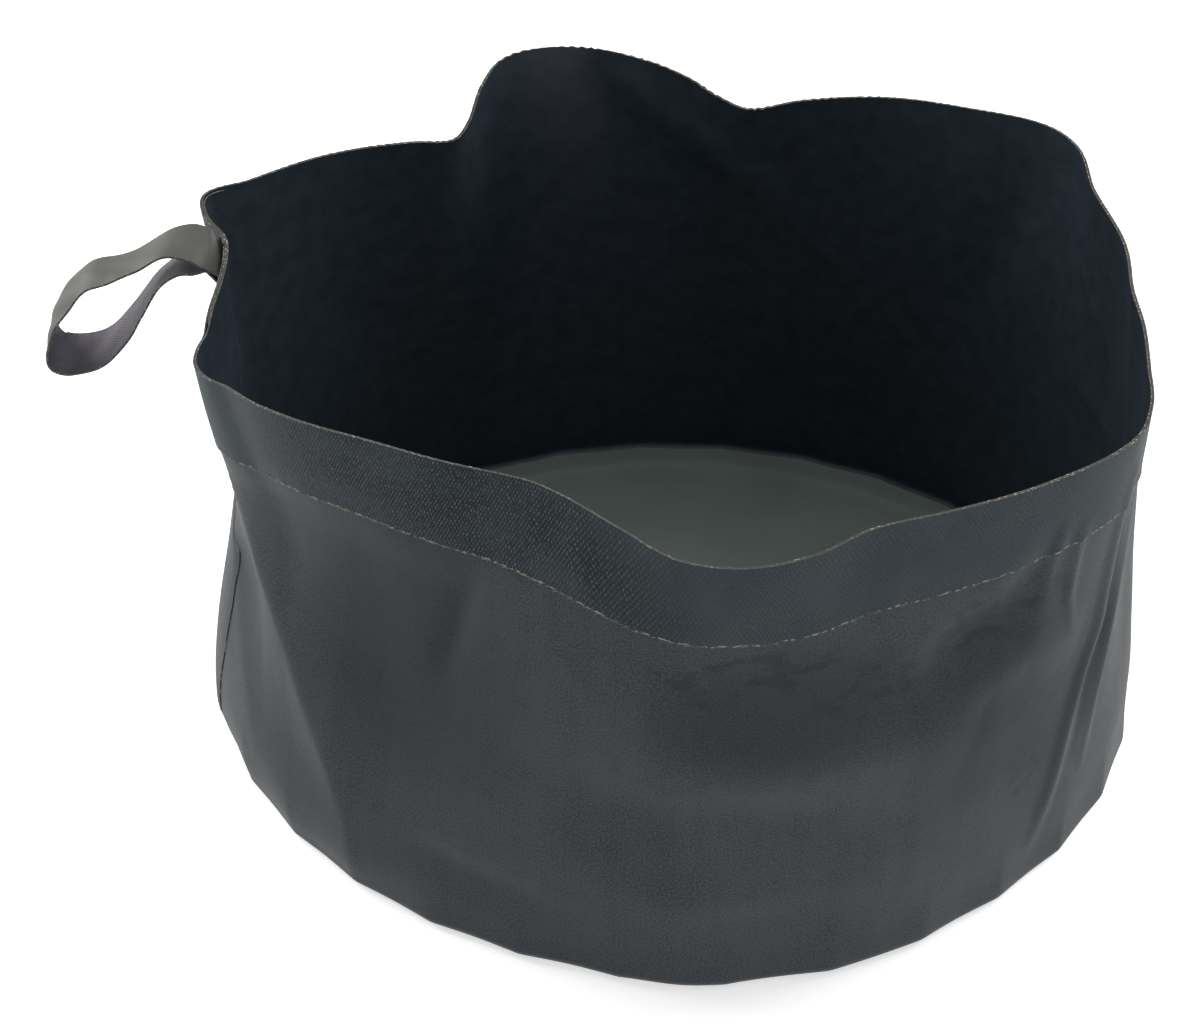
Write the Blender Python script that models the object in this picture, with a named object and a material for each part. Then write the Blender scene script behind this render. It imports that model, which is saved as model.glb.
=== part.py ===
"""Collapsible camp washbasin of coated fabric, modelled as the pieces it is welded from.

Units are metres and +Z is up. The origin is the middle of the base, on the ground. -Y is the side that
faces the viewer and the carrying loop is at -X. A turn is a share of a full circle, counted from +X
towards +Y. The rim droops and waves as soft fabric does, so its line is a list of stations chosen by hand.
"""
import math

import bmesh
import bpy
from mathutils import Matrix, Vector

# Driving sizes of the basin
BASE_RADIUS = 0.1510
RIM_RADIUS = 0.1550
RIM_HEIGHT = 0.1550
FABRIC = 0.0009
GAP = 0.0003

# The wall: one strip, lapped on itself at the side seam, its foot turned in under the floor
FOOT_RADIUS = 0.0040
MARGIN_WIDTH = 0.0120
PLEAT_COUNT = 30
PLEAT_DEPTH = 0.0011
BELLY = 0.0022
SIDE_SWELL = 0.0050
CREASE_DEPTH = 0.0050
SEAM_TURN = 0.470
LAP_WIDTH = 0.060

# The floor disc: its middle lies on the ground, and it steps up onto the wall's turned-in margin
FLOOR_THICKNESS = 0.0010
FLOOR_STEP_WIDTH = 0.0040

# The band round the outside of the rim
BAND_WIDTH = 0.0260
BAND_THICKNESS = 0.0008
BAND_BUTT = 0.0020

# The carrying loop, one strip folded in half, its ends welded over the band's butt joint
LOOP_WIDTH = 0.0170
LOOP_THICKNESS = 0.0008
LOOP_LENGTH = 0.0535
LOOP_TAIL = 0.0120
LOOP_TURN = 0.4735
LOOP_BELOW_RIM = 0.0020
LOOP_SLOPE = math.radians(24)
STEM_LENGTH = 0.0036
STEM_BEND_SHARE = 0.62
TAIL_GAP = 0.0005

# How finely the round pieces are divided
WALL_STEPS = 120
LOOP_STEPS = 44
NOSE_STEPS = 4
FOOT_STEPS = 3
BRIDGE_STEPS = 6

# Rim stations: turn, then radius and height as shares of RIM_RADIUS and RIM_HEIGHT
RIM_SHARES = (
    (0.006, 0.916, 0.994), (0.042, 0.955, 0.987), (0.078, 1.000, 0.994), (0.100, 1.065, 1.019),
    (0.117, 1.077, 1.026), (0.147, 1.045, 1.013), (0.175, 1.019, 1.000), (0.206, 0.968, 0.977),
    (0.225, 0.932, 0.958), (0.239, 0.961, 0.974), (0.250, 1.006, 0.997), (0.264, 1.052, 1.019),
    (0.281, 1.090, 1.039), (0.300, 1.103, 1.048), (0.314, 1.090, 1.039), (0.325, 1.032, 1.010),
    (0.336, 0.955, 0.974), (0.347, 0.916, 0.955), (0.364, 0.935, 0.968), (0.400, 0.987, 0.994),
    (0.431, 1.039, 1.006), (0.447, 1.084, 1.016), (0.458, 1.052, 1.006), (0.468, 0.987, 0.997),
    (0.481, 0.958, 0.994), (0.496, 0.951, 0.984), (0.512, 0.959, 0.974), (0.525, 0.971, 0.961),
    (0.532, 0.990, 0.952), (0.540, 0.999, 0.948), (0.551, 0.988, 0.955), (0.563, 0.960, 0.968),
    (0.580, 0.944, 0.987), (0.598, 0.924, 1.006), (0.634, 0.881, 1.032), (0.667, 0.861, 1.042),
    (0.697, 0.860, 1.049), (0.714, 0.890, 1.045), (0.733, 0.942, 1.026),
    (0.750, 1.000, 1.006), (0.769, 1.019, 1.000), (0.789, 1.000, 1.003), (0.808, 0.968, 1.016),
    (0.833, 0.968, 1.013), (0.869, 0.990, 1.006), (0.908, 1.019, 1.000), (0.928, 0.997, 1.000),
    (0.950, 0.955, 1.003), (0.975, 0.929, 1.000),
)

# Base stations: turn, then radius as a share of BASE_RADIUS
BASE_SHARES = (
    (0.000, 1.000), (0.250, 1.000), (0.500, 1.004), (0.528, 1.010), (0.556, 0.996), (0.586, 0.985),
    (0.619, 0.978), (0.667, 0.981), (0.708, 0.993), (0.733, 1.008), (0.753, 1.030), (0.772, 1.022),
    (0.814, 1.020), (0.844, 1.002), (0.883, 0.994), (0.958, 0.998),
)

# Rows of the wall between foot and band, as shares of that height
BODY_ROW_SHARES = (0.09, 0.20, 0.32, 0.45, 0.58, 0.70, 0.81, 0.91)
# The rim's wave dies out downwards by this power of the height
WAVE_POWER = 2.2
# The front dent of the rim closes downwards: its middle and half width as turns, and how fast it narrows
DENT_TURN = 0.633
DENT_SPREAD_SHARE = 0.170
DENT_CLOSING_SHARE = 1.7
# The side that swells low down, and is drawn in above: middle and half width as turns, heights as shares
SWELL_TURN = 0.528
SWELL_SPREAD_SHARE = 0.110
SWELL_TOP_SHARE = 0.46
TUCK_SHARE = 0.55
# The sharp crease from the band down to the base: its turn at the top and at the foot, and its reach
CREASE_TOP_TURN = 0.560
CREASE_FOOT_TURN = 0.650
CREASE_TOP_SHARE = 0.74
CREASE_SPREAD_SHARE = 0.130
CREASE_SLACK_SHARE = 6.75

# Middle line of the loop from its near end round to its far end, for LOOP_LENGTH: out from the
# rim, towards the viewer and up; then how far the strip is twisted, as a share of a quarter turn
LOOP_SHARES = (
    (0.099, 0.009, 0.056, 0.18), (0.250, 0.019, 0.052, 0.05), (0.437, 0.037, -0.050, 0.00),
    (0.583, 0.056, -0.103, 0.03), (0.738, 0.075, -0.146, 0.08), (0.865, 0.093, -0.258, 0.15),
    (0.968, 0.103, -0.410, 0.22), (1.000, 0.110, -0.520, 0.26), (0.950, 0.110, -0.612, 0.29),
    (0.856, 0.103, -0.632, 0.29), (0.701, 0.103, -0.609, 0.22), (0.555, 0.093, -0.521, 0.12),
    (0.413, 0.075, -0.342, 0.05), (0.305, 0.047, -0.185, 0.05), (0.192, 0.028, -0.101, 0.12),
    (0.110, 0.009, -0.062, 0.20),
)

FOOT_TOP = FABRIC + FOOT_RADIUS
TAU = 2 * math.pi
PROBE_SHARE = 0.0005


def clear_scene():
    for old in list(bpy.data.objects):
        bpy.data.objects.remove(old, do_unlink=True)


def make_material(name, colour, roughness):
    material = bpy.data.materials.new(name)
    material.use_nodes = True
    shader = material.node_tree.nodes["Principled BSDF"]
    shader.inputs["Base Color"].default_value = (*colour, 1)
    shader.inputs["Roughness"].default_value = roughness
    shader.inputs["Metallic"].default_value = 0
    material.diffuse_color = (*colour, 1)
    return material


def smooth_curve(knots, values, place):
    """A value on the smooth curve through the values at the knots, with Hermite arcs between them."""
    right = next(i for i in range(1, len(knots)) if place <= knots[i] or i == len(knots) - 1)
    left = right - 1

    def slope(i):
        before, after = max(i - 1, 0), min(i + 1, len(knots) - 1)
        return (values[after] - values[before]) / (knots[after] - knots[before])

    span = knots[right] - knots[left]
    t = (place - knots[left]) / span
    rise = (1 + 2 * t) * (1 - t) ** 2 * values[left] + t * t * (3 - 2 * t) * values[right]
    lean = t * (1 - t) ** 2 * slope(left) + t * t * (t - 1) * slope(right)
    return rise + span * lean


def round_curve(stations, column, turn):
    """A column of the stations at a turn, on a smooth curve that closes on itself."""
    knots = [s[0] - 1 for s in stations[-3:]] + [s[0] for s in stations] + [s[0] + 1 for s in stations[:3]]
    values = [s[column] for s in stations[-3:] + stations + stations[:3]]
    return smooth_curve(knots, values, turn % 1)


def rim_at(turn):
    """Radius and height of the rim line at a turn."""
    return RIM_RADIUS * round_curve(RIM_SHARES, 1, turn), RIM_HEIGHT * round_curve(RIM_SHARES, 2, turn)


def base_radius(turn):
    """The base outline: the wall's foot is pleated, so it has slight corners."""
    pleat = PLEAT_DEPTH * abs(math.sin(math.pi * PLEAT_COUNT * turn))
    return BASE_RADIUS * round_curve(BASE_SHARES, 1, turn) - pleat


def window(turn, middle, spread):
    """1 at the middle turn, falling smoothly to 0 at the spread on both sides."""
    away = abs((turn - middle + 0.5) % 1 - 0.5) / spread
    return math.cos(math.pi * away / 2) ** 2 if away < 1 else 0


def crease_dent(turn, share):
    """Depth of the dent that starts at the sharp crease and eases out towards the viewer."""
    if share > CREASE_TOP_SHARE:
        fade = max(0, 1 - (share - CREASE_TOP_SHARE) / (1 - CREASE_TOP_SHARE))
    else:
        fade = math.sqrt(share / CREASE_TOP_SHARE)
    edge = CREASE_FOOT_TURN + (CREASE_TOP_TURN - CREASE_FOOT_TURN) * share / CREASE_TOP_SHARE
    across = ((turn - edge + 0.5) % 1 - 0.5) / CREASE_SPREAD_SHARE
    if not 0 < across < 1:
        return 0
    return CREASE_DEPTH * fade * CREASE_SLACK_SHARE * across * (1 - across) ** 2


def wall_point(turn, share):
    """A point of the wall's inner layer, at a share of its height from the top of the foot to the rim."""
    closing = DENT_CLOSING_SHARE * (1 - share) * window(turn, DENT_TURN, DENT_SPREAD_SHARE)
    rim_radius = rim_at(turn + (turn % 1 - DENT_TURN) * closing)[0]
    rim_height = rim_at(turn)[1]
    foot = base_radius(turn)
    wave = min(1, max(0, share)) ** WAVE_POWER
    radius = foot + (rim_radius - foot) * wave + BELLY * math.sin(math.pi * min(1, max(0, share)))
    swell = window(turn, SWELL_TURN, SWELL_SPREAD_SHARE) * SIDE_SWELL
    if share < SWELL_TOP_SHARE:
        radius += swell * math.sin(math.pi * max(0, share) / SWELL_TOP_SHARE)
    elif share < 1:
        radius -= swell * TUCK_SHARE * math.sin(math.pi * (share - SWELL_TOP_SHARE) / (1 - SWELL_TOP_SHARE))
    radius -= crease_dent(turn, share)
    angle = TAU * turn
    height = FOOT_TOP + share * (rim_height - FOOT_TOP)
    return Vector((radius * math.cos(angle), radius * math.sin(angle), height))


def wall_normal(turn, share):
    """The wall's outward direction at a place."""
    around = wall_point(turn + PROBE_SHARE, share) - wall_point(turn - PROBE_SHARE, share)
    low, high = max(share - PROBE_SHARE, 0), min(share + PROBE_SHARE, 1)
    up = wall_point(turn, high) - wall_point(turn, low)
    return around.cross(up).normalized()


def band_share(turn, drop):
    """The share of the wall's height that lies a drop below the rim."""
    return 1 - drop / (rim_at(turn)[1] - FOOT_TOP)


def lap_layers(turn, share):
    """Inner and outer face of the wall in layers of fabric, counted outwards from the inner layer.

    The strip runs once round, from under its own other end at the seam to over its own start.
    """
    past_seam = (turn - SEAM_TURN) % 1
    lift = min(1, share / BODY_ROW_SHARES[0])
    inner = lift * (past_seam - 1)
    lap_turn = LAP_WIDTH / (TAU * BASE_RADIUS)
    return inner, inner + 1 + (lift if past_seam < lap_turn else 0)


def wall_turns():
    """Turns of the wall's columns: even steps, and one more just past each end of the lap."""
    step = 1 / WALL_STEPS
    lap_turn = LAP_WIDTH / (TAU * BASE_RADIUS)
    edge = FABRIC / (TAU * BASE_RADIUS)
    turns = [i * step for i in range(WALL_STEPS)]
    for end in (SEAM_TURN, SEAM_TURN + lap_turn):
        near = [t for t in turns if abs(t - end) < step / 2]
        for t in near:
            turns.remove(t)
        turns += [end - edge, end + edge / 2]
    return sorted(turns)


def wall_column(turn):
    """Inner and outer points of the wall at one turn, from the margin's free edge up to the rim."""
    inner, outer = [], []
    angle = TAU * turn
    out = Vector((math.cos(angle), math.sin(angle), 0))
    down = Vector((0, 0, -1))
    foot = base_radius(turn)
    for radius in (foot - MARGIN_WIDTH, foot - FOOT_RADIUS):
        inner.append(out * radius - down * FABRIC)
        outer.append(out * radius)
    for i in range(1, FOOT_STEPS):
        lean = math.pi / 2 * i / FOOT_STEPS
        face = out * math.sin(lean) + down * math.cos(lean)
        middle = out * (foot - FOOT_RADIUS) - down * FOOT_TOP
        inner.append(middle + face * FOOT_RADIUS)
        outer.append(middle + face * (FOOT_RADIUS + FABRIC))
    low = band_share(turn, BAND_WIDTH)
    shares = [0] + [low * s for s in BODY_ROW_SHARES] + [low, (low + 1) / 2, 1]
    for share in shares:
        place, face = wall_point(turn, share), wall_normal(turn, share)
        layers = lap_layers(turn, share)
        inner.append(place + face * layers[0] * FABRIC)
        outer.append(place + face * layers[1] * FABRIC)
    return inner, outer


def finish_object(name, bm, material, smooth_angle=math.radians(35)):
    """Turn a bmesh into a named object, smooth except at real edges."""
    bmesh.ops.recalc_face_normals(bm, faces=bm.faces)
    mesh = bpy.data.meshes.new(name)
    bm.to_mesh(mesh)
    bm.free()
    mesh.shade_smooth()
    mesh.set_sharp_from_angle(angle=smooth_angle)
    mesh.materials.append(material)
    made = bpy.data.objects.new(name, mesh)
    bpy.context.collection.objects.link(made)
    return made


def cap(bm, ring):
    """Close a ring with a ladder of triangles from its first half to its second, taken backwards."""
    low, high = 0, len(ring) - 1
    while high - low > 2:
        bm.faces.new((ring[low], ring[low + 1], ring[high - 1]))
        bm.faces.new((ring[low], ring[high - 1], ring[high]))
        low, high = low + 1, high - 1
    if high - low == 2:
        bm.faces.new((ring[low], ring[low + 1], ring[high]))


def loft(bm, rings, closed):
    """Join rings of points with triangles; closed joins the last ring to the first, or both get caps.

    A ring runs up one face of a sheet and down the other. Both faces are split along the same
    diagonals, so that sheets which lie on each other have matching facets.
    """
    made = [[bm.verts.new(p) for p in ring] for ring in rings]
    count = len(made[0])
    pairs = list(zip(made, made[1:] + made[:1])) if closed else list(zip(made, made[1:]))
    for here, there in pairs:
        for i in range(count):
            j = (i + 1) % count
            if i < count // 2:
                bm.faces.new((here[i], there[i], there[j]))
                bm.faces.new((here[i], there[j], here[j]))
            else:
                bm.faces.new((here[i], there[i], here[j]))
                bm.faces.new((there[i], there[j], here[j]))
    if not closed:
        cap(bm, made[0])
        cap(bm, made[-1])


def build_side_wall(material):
    """The wall: a lapped strip of fabric round the basin, its lower margin turned in under the floor."""
    bm = bmesh.new()
    rings = []
    for turn in wall_turns():
        inner, outer = wall_column(turn)
        rings.append(outer + inner[::-1])
    loft(bm, rings, closed=True)
    return finish_object("side_wall", bm, material)


def build_floor_disc(material):
    """The floor: a disc on the ground whose edge steps up onto the margin and reaches the wall's foot."""
    bm = bmesh.new()
    seat = FABRIC + GAP
    margin_edge = MARGIN_WIDTH + GAP
    rings = []
    for inset, height in (
        (margin_edge + FLOOR_STEP_WIDTH, 0), (margin_edge, seat), (FOOT_RADIUS, seat),
        (FOOT_RADIUS, seat + FLOOR_THICKNESS), (margin_edge, seat + FLOOR_THICKNESS),
        (margin_edge + FLOOR_STEP_WIDTH, FLOOR_THICKNESS),
    ):
        ring = []
        for turn in wall_turns():
            angle, radius = TAU * turn, base_radius(turn) - inset
            ring.append(Vector((radius * math.cos(angle), radius * math.sin(angle), height)))
        rings.append(ring)
    loft(bm, rings, closed=False)
    return finish_object("floor_disc", bm, material)


def band_turns():
    """Turns of the band's columns, from its start at the seam once round to its other end."""
    butt = BAND_BUTT / (TAU * RIM_RADIUS)
    start, end = LOOP_TURN + butt / 2, LOOP_TURN + 1 - butt / 2
    ring = wall_turns()
    inside = [t for t in ring + [t + 1 for t in ring] if start < t < end]
    return [start] + inside + [end]


def band_lift(turn):
    """How far the band's inner face stands off the wall's inner layer, bridging the lap's step."""
    past_seam = (turn - SEAM_TURN) % 1
    lap_turn = LAP_WIDTH / (TAU * BASE_RADIUS)
    bridge = BRIDGE_STEPS / WALL_STEPS
    if past_seam < lap_turn:
        layers = past_seam + 1
    else:
        layers = past_seam + max(0, 1 - max(0, past_seam - lap_turn - 1 / WALL_STEPS) / bridge)
    ahead = 1 - past_seam
    if ahead < 1 / WALL_STEPS:
        layers = 1
    return layers * FABRIC + GAP


def build_rim_band(material):
    """The band: a strip round the outside of the rim, flush with its edge, with a butt joint at the seam."""
    bm = bmesh.new()
    rings = []
    for turn in band_turns():
        low = band_share(turn, BAND_WIDTH)
        lift = band_lift(turn)
        inner, outer = [], []
        for share in (low, (low + 1) / 2, 1):
            place, face = wall_point(turn, share), wall_normal(turn, share)
            inner.append(place + face * lift)
            outer.append(place + face * (lift + BAND_THICKNESS))
        rings.append(outer + inner[::-1])
    loft(bm, rings, closed=False)
    return finish_object("rim_band", bm, material)


def loop_frame():
    """Where the loop leaves the rim: the nose's middle, outwards, towards the viewer along the nose, up."""
    share = band_share(LOOP_TURN, LOOP_BELOW_RIM)
    place, face = wall_point(LOOP_TURN, share), wall_normal(LOOP_TURN, share)
    out = Vector((-1, 0, 0))
    skin = band_lift(LOOP_TURN) + BAND_THICKNESS + TAIL_GAP
    nose = place + face * skin + out * STEM_LENGTH
    along = Vector((0, -math.cos(LOOP_SLOPE), -math.sin(LOOP_SLOPE)))
    up = out.cross(along)
    return nose, out, along, up


def root_turns():
    """Turns of the root's columns: its two sides, and the band's own columns between them."""
    half = LOOP_WIDTH / 2 * math.cos(LOOP_SLOPE) / (TAU * RIM_RADIUS)
    start, end = LOOP_TURN - half, LOOP_TURN + half
    edge = GAP / (TAU * RIM_RADIUS)
    return [start] + [t for t in wall_turns() if start + edge < t < end - edge] + [end]


def build_loop_root(material):
    """The loop's two ends: welded flat over the band's butt joint, then turned outwards in a round nose."""
    bm = bmesh.new()
    nose, out, along, up = loop_frame()
    half = LOOP_THICKNESS + GAP / 2
    pair = 2 * LOOP_THICKNESS
    rings = []
    for turn in root_turns():
        across = (turn - LOOP_TURN) * TAU * RIM_RADIUS / math.cos(LOOP_SLOPE)
        tip = nose + along * across
        rim_height = rim_at(turn)[1]
        top_drop = rim_height - tip.z + STEM_LENGTH
        skin = band_lift(turn) + BAND_THICKNESS + TAIL_GAP
        back, front = [], []
        for drop in (top_drop + LOOP_TAIL, top_drop + LOOP_TAIL / 2, top_drop):
            share = band_share(turn, drop)
            place, face = wall_point(turn, share), wall_normal(turn, share)
            back.append(place + face * skin)
            front.append(place + face * (skin + pair))
        bend_back = back[-1] + up * STEM_LENGTH * STEM_BEND_SHARE + out * half
        arc = []
        for i in range(NOSE_STEPS + 1):
            lean = math.pi * (0.5 - i / NOSE_STEPS)
            arc.append(tip + out * half * math.cos(lean) + up * half * math.sin(lean))
        rings.append(back + [bend_back] + arc + front[::-1])
    loft(bm, rings, closed=False)
    return finish_object("loop_root", bm, material)


def loop_path():
    """Points, strip width directions and tangents along the loop's middle line."""
    nose, out, along, up = loop_frame()
    half = (LOOP_THICKNESS + GAP) / 2
    start = LOOP_THICKNESS + GAP / 2 + GAP
    viewer, high = Vector((0, -1, 0)), Vector((0, 0, 1))
    level = LOOP_SLOPE / (math.pi / 2)
    knots_at = [nose + out * start + up * half]
    twists = [level]
    for reach, side, rise, twist in LOOP_SHARES:
        knots_at.append(nose + (out * reach + viewer * side + high * rise) * LOOP_LENGTH)
        twists.append(twist)
    knots_at.append(nose + out * start - up * half)
    twists.append(level)
    lengths = [0]
    for a, b in zip(knots_at, knots_at[1:]):
        lengths.append(lengths[-1] + (b - a).length)
    samples = [lengths[-1] * i / LOOP_STEPS for i in range(LOOP_STEPS + 1)]
    points = [Vector([smooth_curve(lengths, [p[k] for p in knots_at], s) for k in range(3)]) for s in samples]
    angles = [smooth_curve(lengths, twists, s) * math.pi / 2 for s in samples]
    tangents = []
    for i in range(len(points)):
        before, after = max(i - 1, 0), min(i + 1, len(points) - 1)
        tangents.append((points[after] - points[before]).normalized())
    tangents[0], tangents[-1] = out, -out
    widths = []
    for tangent, angle in zip(tangents, angles):
        width = Vector((0, -math.cos(angle), -math.sin(angle)))
        width -= tangent * width.dot(tangent)
        widths.append(width.normalized())
    return points, widths, tangents


def build_hanging_loop(material):
    """The free part of the loop: one strip that leaves the nose, turns over at its tip and comes back."""
    bm = bmesh.new()
    rings = []
    for place, width, tangent in zip(*loop_path()):
        face = width.cross(tangent)
        side, thick = width * LOOP_WIDTH / 2, face * LOOP_THICKNESS / 2
        rings.append([place + side + thick, place + thick, place - side + thick,
                      place - side - thick, place - thick, place + side - thick])
    loft(bm, rings, closed=False)
    made = finish_object("hanging_loop", bm, material)
    nose = loop_frame()[0]
    made.data.transform(Matrix.Translation(-nose))
    made.location = nose
    return made


def main():
    clear_scene()
    wall_cloth = make_material("wall_cloth", (0.030, 0.037, 0.037), 0.42)
    floor_cloth = make_material("floor_cloth", (0.048, 0.056, 0.050), 0.35)
    band_cloth = make_material("band_cloth", (0.030, 0.036, 0.037), 0.5)
    loop_cloth = make_material("loop_cloth", (0.085, 0.092, 0.080), 0.5)
    build_side_wall(wall_cloth)
    build_floor_disc(floor_cloth)
    build_rim_band(band_cloth)
    build_loop_root(loop_cloth)
    build_hanging_loop(loop_cloth)


main()
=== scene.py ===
# %% [markdown]
# # A collapsible camp washbasin of coated cloth
#
# This lesson dresses a plain model of a soft washbasin, so that it looks like the real one. The real
# basin is cut from coated cloth and welded: a long strip goes round as the wall, a disc is the floor,
# a narrow band strengthens the rim, and a folded strip makes a carrying loop.
#
# The plain model brings the places, the moving bodies and the joints. We keep its outer box, to say
# at the end how far our cloth stands proud of it. Everything is in metres, and up is +Z.

# %% Load the plain model
import math

import bpy
import numpy as np
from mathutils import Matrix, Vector


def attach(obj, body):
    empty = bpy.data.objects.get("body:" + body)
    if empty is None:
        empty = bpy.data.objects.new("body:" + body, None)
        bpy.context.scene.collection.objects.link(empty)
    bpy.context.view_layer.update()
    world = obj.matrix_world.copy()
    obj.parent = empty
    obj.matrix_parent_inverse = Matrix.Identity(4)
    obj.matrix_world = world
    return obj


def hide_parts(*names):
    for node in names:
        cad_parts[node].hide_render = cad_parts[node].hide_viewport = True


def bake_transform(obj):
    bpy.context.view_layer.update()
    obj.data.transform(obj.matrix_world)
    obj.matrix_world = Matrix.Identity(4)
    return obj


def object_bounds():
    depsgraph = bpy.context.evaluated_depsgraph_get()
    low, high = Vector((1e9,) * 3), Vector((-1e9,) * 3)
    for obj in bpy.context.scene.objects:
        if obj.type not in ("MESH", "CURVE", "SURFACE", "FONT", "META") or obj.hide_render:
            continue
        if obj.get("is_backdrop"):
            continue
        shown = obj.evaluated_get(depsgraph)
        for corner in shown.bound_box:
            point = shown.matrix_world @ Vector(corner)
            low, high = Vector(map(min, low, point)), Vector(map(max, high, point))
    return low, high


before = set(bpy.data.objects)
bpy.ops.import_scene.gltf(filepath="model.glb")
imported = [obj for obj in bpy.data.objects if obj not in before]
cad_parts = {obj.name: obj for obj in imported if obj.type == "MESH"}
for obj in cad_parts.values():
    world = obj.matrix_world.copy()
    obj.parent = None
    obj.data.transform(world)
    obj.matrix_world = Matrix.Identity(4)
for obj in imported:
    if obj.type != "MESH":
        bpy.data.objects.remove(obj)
plain_box = [list(corner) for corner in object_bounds()]
bpy.ops.object.select_all(action="DESELECT")
print("plain box:", [[round(value, 4) for value in corner] for corner in plain_box])

# %% [markdown]
# ## The camera
#
# The basin is seen from the front and from about 33 degrees above. A lens of 90 mm from about a metre
# away keeps the front and the back of the rim nearly the same size, as in a product picture. The
# camera is turned with `to_track_quat`, which points its -Z axis along a direction, so that we can
# write down where it stands and what it looks at instead of three angles.

# %% Place the camera
EYE = (0, -0.8368, 0.6176)
LOOK_AT = (-0.0264, 0, 0.0672)

bpy.ops.object.camera_add(location=EYE)
camera = bpy.context.object
camera.name = "studio_camera"
camera.rotation_euler = (Vector(LOOK_AT) - Vector(EYE)).to_track_quat("-Z", "Y").to_euler()
camera.data.sensor_width = 36
camera.data.lens = 90.27
camera.data.clip_start = 0.05
bpy.context.scene.camera = camera
print("camera stands", round((Vector(LOOK_AT) - Vector(EYE)).length, 3), "m away")

# %% [markdown]
# ## Writing shader sums as Python
#
# Every finish below is a small sum: a colour, plus clouds, minus wear. Drawn by hand each sign is a
# Math node with two links. A class that wraps a socket and overloads the signs lets us write the sum
# itself, and adds the nodes for us. The reflected forms make `1 - mask` work as well as `mask - 1`.
# Every other node comes from one method, `node`, which sets the node's own settings first, because
# some of them change which sockets the node has.

# %% Define the shader helpers
def sign(operation, swapped=False):
    """A method for one sign, which adds its Math node; swapped is for a number before the sign."""
    def work(self, other):
        return self.work(operation, *((other, self) if swapped else (self, other)))
    return work


class Wire:
    """One socket that takes part in sums: every sign adds the Math node that works it out."""

    __add__, __radd__ = sign("ADD"), sign("ADD", True)
    __sub__, __rsub__ = sign("SUBTRACT"), sign("SUBTRACT", True)
    __mul__, __rmul__ = sign("MULTIPLY"), sign("MULTIPLY", True)
    __truediv__, __rtruediv__ = sign("DIVIDE"), sign("DIVIDE", True)
    __pow__, __rpow__ = sign("POWER"), sign("POWER", True)
    most, least = sign("MAXIMUM"), sign("MINIMUM")

    def __init__(self, finish, socket):
        self.finish = finish
        self.socket = socket

    def work(self, operation, *terms):
        return self.finish.node("ShaderNodeMath", {"operation": operation}, dict(enumerate(terms)))

    def sine(self):
        return self.work("SINE", self)

    def size(self):
        return self.work("ABSOLUTE", self)

    def step(self, low, high):
        """0 below low, 1 above high, and a smooth turn between them."""
        return self.finish.node(
            "ShaderNodeMapRange", {"interpolation_type": "SMOOTHSTEP"},
            {"Value": self, "From Min": low, "From Max": high},
        )


class Finish:
    """A material whose nodes come from one method; fixed numbers go straight onto its shader."""

    def __init__(self, name, fixed):
        self.material = bpy.data.materials.new(name)
        self.material.use_nodes = True
        self.tree = self.material.node_tree
        self.shader = self.tree.nodes["Principled BSDF"]
        for socket, value in fixed.items():
            self.shader.inputs[socket].default_value = value

    def feed(self, socket, value):
        if isinstance(value, Wire):
            self.tree.links.new(value.socket, socket)
        else:
            socket.default_value = value

    def node(self, kind, settings=None, inputs=None, output=0):
        made = self.tree.nodes.new(kind)
        for setting, value in (settings or {}).items():
            setattr(made, setting, value)
        for socket, value in (inputs or {}).items():
            self.feed(made.inputs[socket], value)
        return Wire(self, made.outputs[output])

    def flat_cut(self):
        """The cloth's own flat cut, in metres: along the strip, then across it."""
        return self.node("ShaderNodeUVMap", {"uv_map": "flat_cut"})

    def ray(self, kind):
        """1 for one kind of ray, such as those that the camera sends out."""
        return self.node("ShaderNodeLightPath", output=kind)

    def part_of(self, vector, axis):
        return self.node("ShaderNodeSeparateXYZ", {}, {0: vector}, output=axis)

    def cloth_side(self):
        """0 on the cloth's outer face, 1 on its inner face, and between them on a cut edge."""
        return self.node("ShaderNodeAttribute", {"attribute_name": "cloth_side"}, output="Fac")

    def noise(self, vector, scale, detail=2, roughness=0.5):
        """Noise of one scale, or of two scales, along and across the strip."""
        if isinstance(scale, tuple):
            factors = {0: vector, 1: (*scale, 1)}
            vector = self.node("ShaderNodeVectorMath", {"operation": "MULTIPLY"}, factors)
            scale = 1.0
        return self.node(
            "ShaderNodeTexNoise", {"noise_dimensions": "3D"},
            {"Vector": vector, "Scale": scale, "Detail": detail, "Roughness": roughness},
        )

    def mix(self, mask, under, over):
        """The colour over, where the mask is 1, on the colour under."""
        shades = [shade if isinstance(shade, Wire) else (*shade, 1) for shade in (under, over)]
        return self.node(
            "ShaderNodeMix", {"data_type": "RGBA"}, {0: mask, 6: shades[0], 7: shades[1]}, output=2
        )

    def finish_with(self, colour, roughness, relief):
        """Feed the shader: a colour, a roughness, and a relief whose heights are metres."""
        self.feed(self.shader.inputs["Base Color"], colour)
        self.feed(self.shader.inputs["Roughness"], roughness)
        bump = self.node("ShaderNodeBump", {}, {"Distance": 1.0, "Strength": 1.0, "Height": relief})
        self.feed(self.shader.inputs["Normal"], bump)
        print("finish", self.material.name, "has", len(self.tree.nodes), "nodes")
        return self.material


class Backdrop(Finish):
    """The world's own nodes, made by the same method as a material's."""

    def __init__(self, name):
        self.world = bpy.data.worlds.new(name)
        self.world.use_nodes = True
        self.tree = self.world.node_tree


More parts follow.
